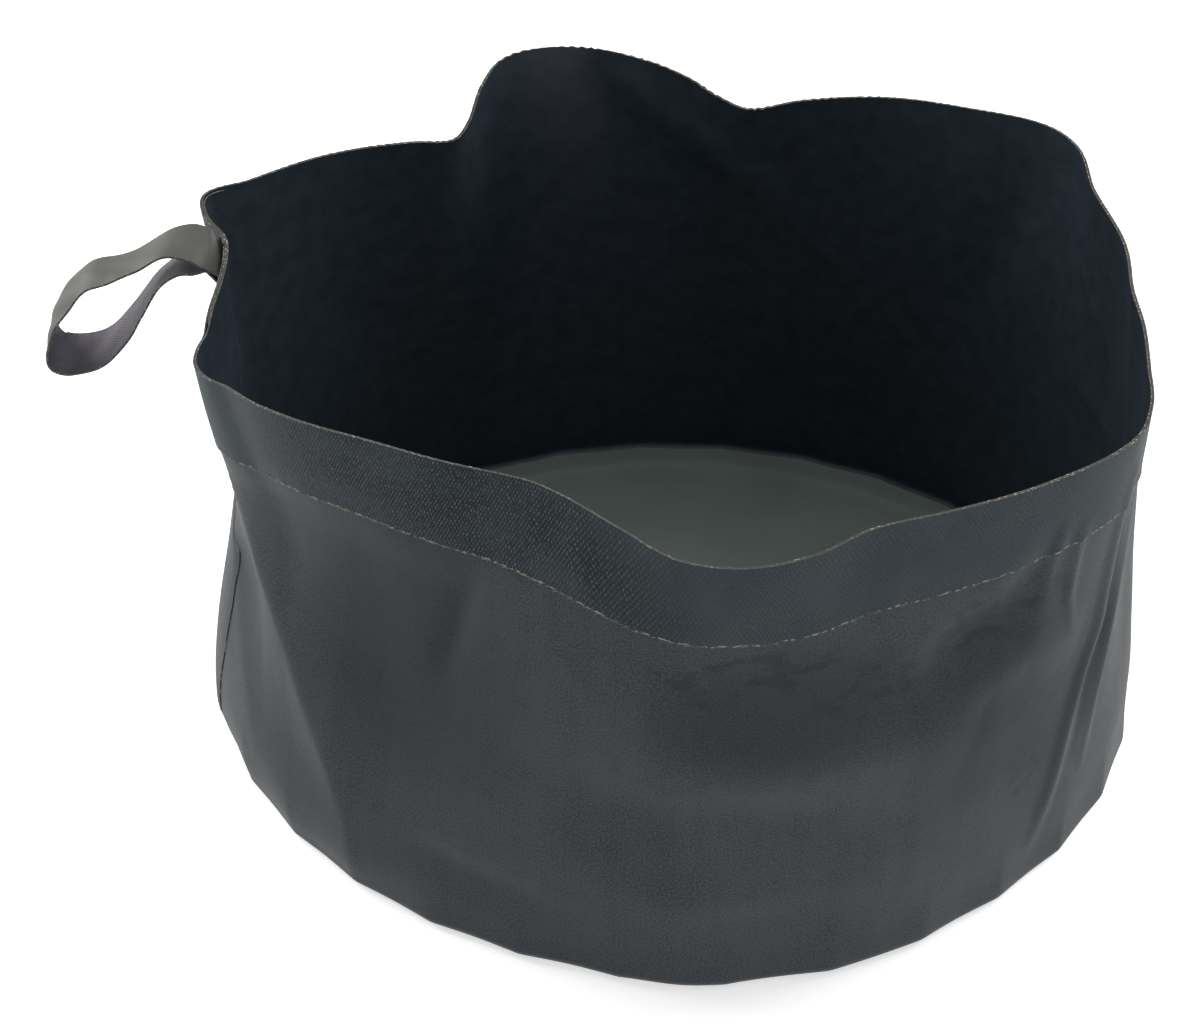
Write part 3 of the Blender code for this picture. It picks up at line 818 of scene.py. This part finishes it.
# %% Find where the loop leaves the rim
LOOP_WIDTH = 0.017
LOOP_THICKNESS = 0.0008
LOOP_LENGTH = 0.0535
LOOP_TAIL = 0.012
LOOP_SLOPE = math.radians(24)
STEM_LENGTH = 0.0036
NOSE_GAP = 0.0003
NOSE_DROP = 0.002
NOSE_SKIN = FABRIC * (1.0 + (LOOP_TURN - 0.47)) + 0.0016  # as in the plain model
HAIR = 0.0002
CUP = 0.0007
# Each station: how far out, aside and up it lies, in loop lengths, and its twist in quarter turns
LOOP_STATIONS = (
    (0.099, 0.009, 0.056, 0.18), (0.250, 0.019, 0.052, 0.05), (0.437, 0.037, -0.050, 0.00),
    (0.583, 0.056, -0.103, 0.03), (0.738, 0.075, -0.146, 0.08), (0.865, 0.093, -0.268, 0.15),
    (0.968, 0.103, -0.425, 0.20), (1.000, 0.110, -0.560, 0.25), (0.968, 0.110, -0.662, 0.27),
    (0.870, 0.103, -0.690, 0.27), (0.701, 0.103, -0.652, 0.20), (0.555, 0.093, -0.535, 0.19),
    (0.413, 0.075, -0.335, 0.13), (0.305, 0.047, -0.180, 0.00), (0.192, 0.028, -0.095, 0.00),
    (0.110, 0.009, -0.062, 0.14),
)
LOOP_OUT = np.array([-1.0, 0, 0])
LOOP_ALONG = np.array([0, -math.cos(LOOP_SLOPE), -math.sin(LOOP_SLOPE)])
LOOP_UP = np.cross(LOOP_OUT, LOOP_ALONG)


def wall_spot(turn, drop, stand_off):
    """A point at a drop below the rim, on the plain surface, with a stand-off."""
    share = share_below_rim(turn, drop)
    return plain_surface(turn, share) + outward(turn, share) * stand_off


NOSE = wall_spot(LOOP_TURN, NOSE_DROP, NOSE_SKIN) + LOOP_OUT * STEM_LENGTH
print("the loop's nose is at", NOSE.round(4))


# %% Build the free part of the loop
def loop_line():
    """Points and twists along the loop's middle line, from its upper start to its lower end."""
    half = (LOOP_THICKNESS + NOSE_GAP) / 2
    knots = [NOSE + LOOP_OUT * HAIR + LOOP_UP * half]
    for out, side, rise, _ in LOOP_STATIONS:
        knots.append(NOSE + (LOOP_OUT * out + np.array([0, -side, rise])) * LOOP_LENGTH)
    knots.append(NOSE + LOOP_OUT * HAIR - LOOP_UP * half)
    level = LOOP_SLOPE / (math.pi / 2)
    return np.array(knots), np.array([level] + [station[3] for station in LOOP_STATIONS] + [level])


def place_loop(along, across):
    """The free strip: across its middle line lies its width, slightly cupped and rippled."""
    knots, twists = loop_line()
    lengths = lengths_along(knots)
    total = lengths[-1]
    place = along * total

    def middle(at):
        at = np.clip(at, 0, total)
        return np.stack([smooth_line(lengths, knots[:, k], at) for k in range(3)], -1)

    tangent = unit(middle(place + 0.0008) - middle(place - 0.0008))
    tangent[along < 0.002] = LOOP_OUT
    tangent[along > 0.998] = -LOOP_OUT
    angle = smooth_line(lengths, twists, place) * math.pi / 2
    width = np.stack([0 * angle, -np.cos(angle), -np.sin(angle)], -1)
    width = unit(width - tangent * (width * tangent).sum(-1, keepdims=True))
    side = across - 0.5
    free = np.sin(math.pi * along) ** 0.5
    cup = (CUP * (4 * side * side - 0.4) + HAIR * np.sin(place * 420 + side * 9)) * free
    points = middle(place) + width * (side * LOOP_WIDTH)[:, None]
    points = points + np.cross(width, tangent) * cup[:, None]
    return points, np.stack([place, across * LOOP_WIDTH], -1)


loop = make_sheet("loop_strip", 150, 12, place_loop, LOOP_THICKNESS, offset=0)


# %% Build the loop's welded ends
TAIL_FALLS = (1.0, 0.8, 0.55, 0.3)


def place_root(along, across):
    """The doubled ends: up the outer tail, round the nose, and down the inner tail."""
    half_turn = LOOP_WIDTH / 2 * math.cos(LOOP_SLOPE) / (TAU * RIM_RADIUS)
    turn = LOOP_TURN + (across * 2 - 1) * half_turn
    reach = (across * 2 - 1) * LOOP_WIDTH / 2
    tip = NOSE + LOOP_ALONG * reach[:, None]
    drop = rim_height(turn) - tip[:, 2] + STEM_LENGTH
    skin = band_stand_off(LOOP_TURN) + BAND_THICKNESS + 2 * WELD
    inner, outer = skin + LOOP_THICKNESS / 2, skin + LOOP_THICKNESS * 1.5 + WELD
    nose = (LOOP_THICKNESS + NOSE_GAP) / 2
    stations = [wall_spot(turn, drop + LOOP_TAIL * fall, outer) for fall in (*TAIL_FALLS, 0.1)]
    for lean in np.radians(np.linspace(-90, 90, 9)):
        stations.append(tip + LOOP_OUT * nose * math.cos(lean) + LOOP_UP * nose * math.sin(lean))
    stations.append(wall_spot(turn, drop, inner) + LOOP_UP * STEM_LENGTH * 0.62 + LOOP_OUT * nose)
    for fall in (0.0, *reversed(TAIL_FALLS)):
        stations.append(wall_spot(turn, drop + LOOP_TAIL * fall, inner))
    stations = np.array(stations)
    lengths = lengths_along(stations[:, 0])
    place = along * lengths[-1]
    right = np.clip(np.searchsorted(lengths, place), 1, len(lengths) - 1)
    t = ((place - lengths[right - 1]) / (lengths[right] - lengths[right - 1]))[:, None]
    who = np.arange(len(turn))
    points = stations[right - 1, who] * (1 - t) + stations[right, who] * t
    return points, np.stack([place, across * LOOP_WIDTH], -1)


root = make_sheet("loop_ends", 90, 12, place_root, LOOP_THICKNESS, offset=0, outer_first=False)

# %% [markdown]
# ## Loose fibres on the cut edges
#
# The cloth has a woven core that is beige. Where it was cut, short ends of yarn stick out of the
# coating: along the band's lower edge they read as a broken pale line. One fibre is modelled as a
# thin three-sided stem that tapers, and is copied along that edge at slightly different sizes and
# angles. The random numbers have a fixed seed, so every run gives the same fibres.

# %% Model one fibre and copy it
FIBRE_LENGTH = 0.0011
FIBRE_DROOP = 0.25

bpy.ops.object.select_all(action="DESELECT")
bpy.ops.mesh.primitive_cone_add(vertices=3, radius1=0.5, radius2=0.2, depth=1, location=(0, 0, 0.5))
fibres = bpy.context.object
fibres.name = "edge_fibres"
bpy.ops.object.transform_apply(location=True, rotation=True, scale=True)
stem = np.array([vertex.co[:] for vertex in fibres.data.vertices])
stem_faces = [list(face.vertices) for face in fibres.data.polygons]

chance = np.random.default_rng(7)


def spread_fibres(count, turns, thickness):
    """Places, directions and sizes of fibres along the band's lower edge, between two turns."""
    turn = chance.uniform(turns[0], turns[1], count)
    clump = 0.5 + 0.5 * np.sin(TAU * 41 * turn + 3 * np.sin(TAU * 9 * turn))
    keep = chance.uniform(0, 1, count) < 0.35 + 0.65 * clump
    turn = turn[keep]
    stand_off = band_stand_off(turn) + BAND_THICKNESS * chance.uniform(0.5, 1.0, len(turn))
    share = share_below_rim(turn, BAND_WIDTH)
    root_at = cloth_point(turn, share, stand_off)
    out = outward(turn, share)
    around = np.stack([-np.sin(TAU * turn), np.cos(TAU * turn), 0 * turn], -1)
    lean = chance.normal(0, 1, (len(turn), 2))
    aim = around * np.sign(lean[:, :1]) + np.array([0, 0, -FIBRE_DROOP]) * lean[:, 1:]
    aim = unit(aim + out * (0.12 + 0.1 * lean[:, 1:]))
    size = FIBRE_LENGTH * chance.uniform(0.5, 1.5, len(turn))
    return root_at, aim, size, np.full(len(turn), thickness)


groups = [
    spread_fibres(1100, (0.545, 0.74), 0.00013),
    spread_fibres(260, (0.74, 0.95), 0.00012),
    spread_fibres(900, (0.95, 1.545), 0.00012),
]
fibre_roots, fibre_aims, fibre_sizes, fibre_widths = (np.concatenate(parts) for parts in zip(*groups))
helper = unit(np.cross(fibre_aims, [0.3, 0.5, 0.81]))
other = np.cross(fibre_aims, helper)
copies = (
    fibre_roots[:, None]
    + helper[:, None] * (stem[None, :, :1] * fibre_widths[:, None, None])
    + other[:, None] * (stem[None, :, 1:2] * fibre_widths[:, None, None])
    + fibre_aims[:, None] * (stem[None, :, 2:] * fibre_sizes[:, None, None])
)
faces = [
    [index + copy * len(stem) for index in face] for copy in range(len(copies)) for face in stem_faces
]
fibres.data.clear_geometry()
fibres.data.from_pydata(copies.reshape(-1, 3).tolist(), [], faces)
fibres.data.update()
fibres.data.name = "edge_fibres"
print(len(copies), "fibres")

# %% [markdown]
# ## Finish: the wall's coated cloth
#
# Outside, the coating is a dark blue grey with a soft gloss. It is cloudy at the scale of a hand, has
# a fine grain, and is scuffed below the band; right of the crease and across the lower front and
# right it is painted darker as shade. Inside it is nearly black and glossier: partly its own darker
# coating, partly painted shade for the basin's shaded inside. The woven core shows beige where the
# strip was cut. All of it is read from the flat cut, in metres.

# %% Mix the wall's finish
BEIGE = (0.42, 0.39, 0.3)
EDGE_BROWN = (0.06, 0.058, 0.046)


def start_cloth(name, specular):
    """A coated cloth's finish, with the two things that all its patterns read: flat cut and side."""
    finish = Finish(name, {"Specular IOR Level": specular, "IOR": 1.45})
    return finish, finish.flat_cut(), finish.cloth_side()


def cut_edge(side):
    """1 in the middle of a cut edge's thickness, where the woven core shows."""
    return (1 - (side * 2 - 1).size()).step(0.1, 0.5)


def edge_colour(finish, flat):
    """A cut edge: brown grey coating, with flecks of the beige core where the yarns were cut."""
    flecks = finish.noise(flat, (900, 300), 2, 0.6).step(0.5, 0.66)
    spells = finish.noise(flat, (45, 20)).step(0.42, 0.62)
    return finish.mix(flecks * (0.25 + spells * 0.75), EDGE_BROWN, BEIGE)


def weave(finish, vector, pitch):
    """The faint relief of a plain weave under the coating, from -1 to 1."""
    along = (finish.part_of(vector, 0) * (math.pi / pitch)).sine()
    across = (finish.part_of(vector, 1) * (math.pi / pitch)).sine()
    return along * across


def ovals(u, v, places, soft):
    """1 in the middle of each oval place and 0 outside it; the edge is as wide as soft."""
    inside = 0
    for middle_u, middle_v, reach_u, reach_v in places:
        away = ((u - middle_u) / reach_u) ** 2 + ((v - middle_v) / reach_v) ** 2
        inside = (1 - away).step(0.0, soft) + inside
    return inside.least(1)


# Middle and reach of each scuffed place, along and across the flat strip, in metres
SCUFFED = (
    (0.312, 0.127, 0.036, 0.011), (0.35, 0.116, 0.022, 0.01), (0.41, 0.06, 0.016, 0.012),
    (0.396, 0.126, 0.032, 0.014),
)

# Places painted darker as shade, right of the crease and across the lower front and right, in the
# same form
PAINTED_SHADE_PLACES = (
    (0.2, 0.104, 0.062, 0.058), (0.4, 0.096, 0.05, 0.044), (0.452, 0.056, 0.06, 0.06),
    (0.325, 0.112, 0.05, 0.03),
)

wall_cloth, flat, side = start_cloth("wall_cloth", 0.2)
inner = side.step(0.45, 0.55)
clouds = wall_cloth.noise(flat, 26, 4, 0.55)
mottle = wall_cloth.noise(flat, 140, 3, 0.6)
grain = wall_cloth.noise(flat, 1600, 2, 0.6)
streaks = wall_cloth.noise(flat, (160, 9), 3, 0.6)
pattern = weave(wall_cloth, flat, 0.00055)
shade = clouds * 0.5 + mottle * 0.25 + streaks * 0.25
outer_colour = wall_cloth.mix(shade.step(0.3, 0.7), (0.016, 0.024, 0.03), (0.042, 0.05, 0.055))
outer_colour = wall_cloth.mix(grain.step(0.32, 0.68) * 0.7, outer_colour, (0.074, 0.083, 0.089))
u = wall_cloth.part_of(flat, 0)
v = wall_cloth.part_of(flat, 1)
smudges = wall_cloth.noise(flat, (85, 170), 5, 0.62).step(0.48, 0.6)
worn = smudges * ovals(u, v, SCUFFED, 0.7)
outer_colour = wall_cloth.mix(worn * 0.45, outer_colour, (0.011, 0.018, 0.023))
# Painted shade: the outer coating is darkened in those places
outer_colour = wall_cloth.mix(ovals(u, v, PAINTED_SHADE_PLACES, 1.0) * 0.5, outer_colour, (0.006, 0.011, 0.014))
# The inner face is darker: partly its own coating, partly painted shade for the basin's shaded inside
inner_colour = wall_cloth.mix(mottle.step(0.3, 0.7), (0.016, 0.0235, 0.032), (0.023, 0.032, 0.042))
colour = wall_cloth.mix(inner, outer_colour, inner_colour)
colour = wall_cloth.mix(cut_edge(side), colour, edge_colour(wall_cloth, flat))
gloss = 0.46 + (clouds - 0.5) * 0.16 + (mottle - 0.5) * 0.12
roughness = gloss * (1 - inner) + inner * 0.34
relief = pattern * 0.000012 + grain * 0.00003 + mottle * 0.00012 + clouds * 0.0003
wall.data.materials.append(wall_cloth.finish_with(colour, roughness, relief))

# %% [markdown]
# ## Finish: the floor's cloth
#
# The floor is a little lighter and more olive than the wall, with the weave of its core just visible
# through the coating. The same helpers as for the wall mix it, so both look like one maker's cloth.

# %% Mix the floor's finish
floor_cloth, flat, side = start_cloth("floor_cloth", 0.35)
clouds = floor_cloth.noise(flat, 22, 4, 0.55)
grain = floor_cloth.noise(flat, 1300, 2, 0.6)
pattern = weave(floor_cloth, flat, 0.0006)
colour = floor_cloth.mix(clouds.step(0.3, 0.7), (0.13, 0.163, 0.15), (0.155, 0.194, 0.178))
colour = floor_cloth.mix(grain.step(0.4, 0.8) * 0.3, colour, (0.185, 0.225, 0.208))
colour = floor_cloth.mix(cut_edge(side), colour, edge_colour(floor_cloth, flat))
relief = pattern * 0.00002 + grain * 0.00003 + clouds * 0.0002
floor.data.materials.append(floor_cloth.finish_with(colour, 0.42 + (clouds - 0.5) * 0.1, relief))

# %% [markdown]
# ## Finish: the band's embossed cloth
#
# The band has small raised cells in slanted rows, like scales, 1.35 mm long and 2.1 mm high. Two
# slanted waves that cross give the cells, and two noises let them fade in and out, as worn embossing
# does: they are plainest beside the dent. Their tops are painted lighter as highlight and the gaps
# between them nearly black as shade, most of all beside the dent. Near its lower cut edge the beige
# core shows in flecks.

# %% Mix the band's finish
CELL_ALONG = 0.00135
CELL_ACROSS = 0.0021

band_cloth, flat, side = start_cloth("band_cloth", 0.2)
wobble = band_cloth.noise(flat, 160, 3) * 0.0026
u = band_cloth.part_of(flat, 0) + wobble
v = band_cloth.part_of(flat, 1) + wobble
rising = (u * (math.pi / CELL_ALONG) + v * (math.pi / CELL_ACROSS)).sine()
falling = (u * (math.pi / CELL_ALONG) - v * (math.pi / CELL_ACROSS)).sine()
worn = band_cloth.noise(flat, 620, 2, 0.6).step(0.25, 0.7)
cells = (rising * falling).size() * (0.45 + worn * 0.55)
patches = band_cloth.noise(flat, (28, 60)).step(0.3, 0.65)
near_dent = 1 - ((band_cloth.part_of(flat, 0) - 0.19).size()).step(0.035, 0.11)
fading = near_dent.most(0.24) * (0.5 + patches * 0.5)
clouds = band_cloth.noise(flat, 40, 3)
grain = band_cloth.noise(flat, 1400, 2, 0.6)
colour = band_cloth.mix(clouds.step(0.3, 0.7), (0.028, 0.041, 0.048), (0.042, 0.055, 0.062))
# Painted shade in the gaps between the cells and painted highlight on their tops, strongest beside
# the dent
colour = band_cloth.mix((1 - cells).step(0.35, 0.85) * fading * 0.95, colour, (0.001, 0.005, 0.008))
colour = band_cloth.mix(cells.step(0.5, 0.95) * fading * 0.85, colour, (0.12, 0.14, 0.148))
colour = band_cloth.mix(grain.step(0.4, 0.8) * 0.4, colour, (0.056, 0.066, 0.072))
flecks = band_cloth.noise(flat, (500, 900)).step(0.46, 0.6)
lower = 1 - band_cloth.part_of(flat, 1).step(0.0001, 0.0006)
colour = band_cloth.mix(flecks * lower * 0.8, colour, BEIGE)
colour = band_cloth.mix(cut_edge(side), colour, edge_colour(band_cloth, flat))
relief = cells * fading * 0.0003 + grain * 0.00003 + clouds * 0.0002
band.data.materials.append(band_cloth.finish_with(colour, 0.48 + (clouds - 0.5) * 0.12, relief))

# %% [markdown]
# ## Finish: the loop's strip and the fibres
#
# The loop's outer face is a smooth olive grey, lighter than the wall. Its inner face is a pale violet
# grey with the coarse weave showing. Both long edges are cut, so they are paler. The fibres are the
# beige yarn of the core.

# %% Mix the loop's and the fibres' finish
loop_cloth, flat, side = start_cloth("loop_cloth", 0.3)
inner = side.step(0.45, 0.55)
clouds = loop_cloth.noise(flat, 90, 3)
grain = loop_cloth.noise(flat, 1500, 2, 0.6)
pattern = weave(loop_cloth, flat, 0.00065)
smooth_face = loop_cloth.mix(clouds.step(0.3, 0.7), (0.064, 0.068, 0.06), (0.082, 0.087, 0.077))
rough_face = loop_cloth.mix(clouds.step(0.3, 0.7), (0.088, 0.086, 0.108), (0.125, 0.122, 0.148))
rough_face = loop_cloth.mix(pattern.step(0.2, 0.9) * grain, rough_face, (0.25, 0.242, 0.272))
colour = loop_cloth.mix(inner, smooth_face, rough_face)
across = loop_cloth.part_of(flat, 1)
brim = 1 - across.least(LOOP_WIDTH - across).step(0.0002, 0.0007)
pale = cut_edge(side).most(brim * 0.5)
colour = loop_cloth.mix(pale, colour, edge_colour(loop_cloth, flat))
relief = pattern * inner * 0.00008 + grain * 0.00003 + clouds * 0.0001
loop_finish = loop_cloth.finish_with(colour, 0.5 + (clouds - 0.5) * 0.1, relief)
loop.data.materials.append(loop_finish)
root.data.materials.append(loop_finish)

yarn = Finish("beige_yarn", {"Specular IOR Level": 0.2, "IOR": 1.45})
tint = yarn.noise(yarn.node("ShaderNodeTexCoord", output="Object"), 400)
yarn_colour = yarn.mix(tint.step(0.35, 0.65), (0.2, 0.18, 0.14), (0.42, 0.38, 0.31))
fibres.data.materials.append(yarn.finish_with(yarn_colour, 0.7, tint * 0.00002))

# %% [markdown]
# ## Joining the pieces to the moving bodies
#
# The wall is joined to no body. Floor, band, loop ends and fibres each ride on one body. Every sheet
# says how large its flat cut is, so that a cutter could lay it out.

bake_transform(wall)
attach(floor, "basin")
for piece in (band, root, fibres):
    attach(piece, "rim")
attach(loop, "loop")
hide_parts("side_wall")
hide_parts("floor_disc")
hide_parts("rim_band")
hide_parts("loop_root")
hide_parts("hanging_loop")

# %% [markdown]
# ## The size, plain and dressed
#
# The cloth may stand a little proud of the plain model, but not change its size. The sizes of
# both boxes are printed side by side.

# %% Print the sizes
dressed_box = [list(corner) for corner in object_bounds()]
for axis, label in enumerate("xyz"):
    plain = plain_box[1][axis] - plain_box[0][axis]
    dressed = dressed_box[1][axis] - dressed_box[0][axis]
    print(label, round(plain * 1000, 1), "mm plain,", round(dressed * 1000, 1), "mm dressed")
